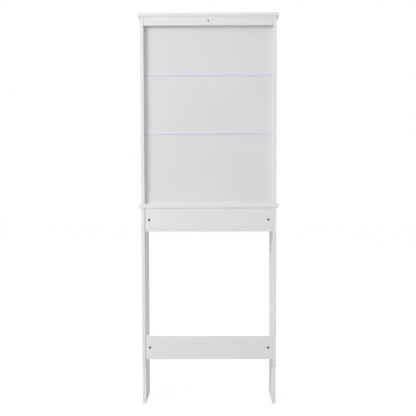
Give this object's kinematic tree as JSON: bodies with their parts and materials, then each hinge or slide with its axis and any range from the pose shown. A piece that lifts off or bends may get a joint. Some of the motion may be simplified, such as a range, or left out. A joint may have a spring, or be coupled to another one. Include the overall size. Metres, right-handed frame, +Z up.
{
  "type": "over the toilet storage rack",
  "caption": "Tall open-front bathroom shelving cabinet on two panel legs, with a back panel and a clear bay below that stands over a toilet.",
  "frame": {"origin": "on the floor, under the middle of the rack's outer box", "axes": "+Z up, +Y towards the wall behind the rack, the open front faces -Y, +X to the right as seen from the front"},
  "size_m": [0.614, 0.21, 1.727],
  "materials": {
    "white_laminate": "satin white melamine facing on particle board, white edge banding",
    "white_hardboard": "thin fibreboard with a smooth white printed face",
    "strip_plastic": "extruded white plastic with a faint violet cast",
    "cam_zinc": "die-cast zinc, dull grey",
    "bolt_steel": "zinc-plated steel",
    "pin_nickel": "nickel-plated steel",
    "dowel_beech": "plain beech"
  },
  "bodies": {
    "root": {"top_board": "white_laminate", "deck_board": "white_laminate", "side_panel_left": "white_laminate", "side_panel_right": "white_laminate", "leg_panel_left": "white_laminate", "leg_panel_right": "white_laminate", "lower_shelf": "white_laminate", "upper_shelf": "white_laminate", "top_rail": "white_laminate", "apron_rail": "white_laminate", "stretcher_rail": "white_laminate", "back_panel_bottom": "white_hardboard", "back_panel_middle": "white_hardboard", "back_panel_top": "white_hardboard", "joining_strip_lower": "strip_plastic", "joining_strip_upper": "strip_plastic", "apron_cam_left": "cam_zinc", "apron_bolt_left": "bolt_steel", "apron_dowel_left": "dowel_beech", "stretcher_cam_left": "cam_zinc", "stretcher_bolt_left": "bolt_steel", "stretcher_dowel_left": "dowel_beech", "top_rail_dowel_left": "dowel_beech", "side_top_cam_left_front": "cam_zinc", "side_foot_cam_left_front": "cam_zinc", "leg_cam_left_front": "cam_zinc", "top_bolt_left_front": "bolt_steel", "deck_bolt_left_front": "bolt_steel", "lower_shelf_pin_left_front": "pin_nickel", "upper_shelf_pin_left_front": "pin_nickel", "side_top_cam_left_rear": "cam_zinc", "side_foot_cam_left_rear": "cam_zinc", "leg_cam_left_rear": "cam_zinc", "top_bolt_left_rear": "bolt_steel", "deck_bolt_left_rear": "bolt_steel", "lower_shelf_pin_left_rear": "pin_nickel", "upper_shelf_pin_left_rear": "pin_nickel", "apron_cam_right": "cam_zinc", "apron_bolt_right": "bolt_steel", "apron_dowel_right": "dowel_beech", "stretcher_cam_right": "cam_zinc", "stretcher_bolt_right": "bolt_steel", "stretcher_dowel_right": "dowel_beech", "top_rail_dowel_right": "dowel_beech", "side_top_cam_right_front": "cam_zinc", "side_foot_cam_right_front": "cam_zinc", "leg_cam_right_front": "cam_zinc", "top_bolt_right_front": "bolt_steel", "deck_bolt_right_front": "bolt_steel", "lower_shelf_pin_right_front": "pin_nickel", "upper_shelf_pin_right_front": "pin_nickel", "side_top_cam_right_rear": "cam_zinc", "side_foot_cam_right_rear": "cam_zinc", "leg_cam_right_rear": "cam_zinc", "top_bolt_right_rear": "bolt_steel", "deck_bolt_right_rear": "bolt_steel", "lower_shelf_pin_right_rear": "pin_nickel", "upper_shelf_pin_right_rear": "pin_nickel"}
  },
  "joints": []
}
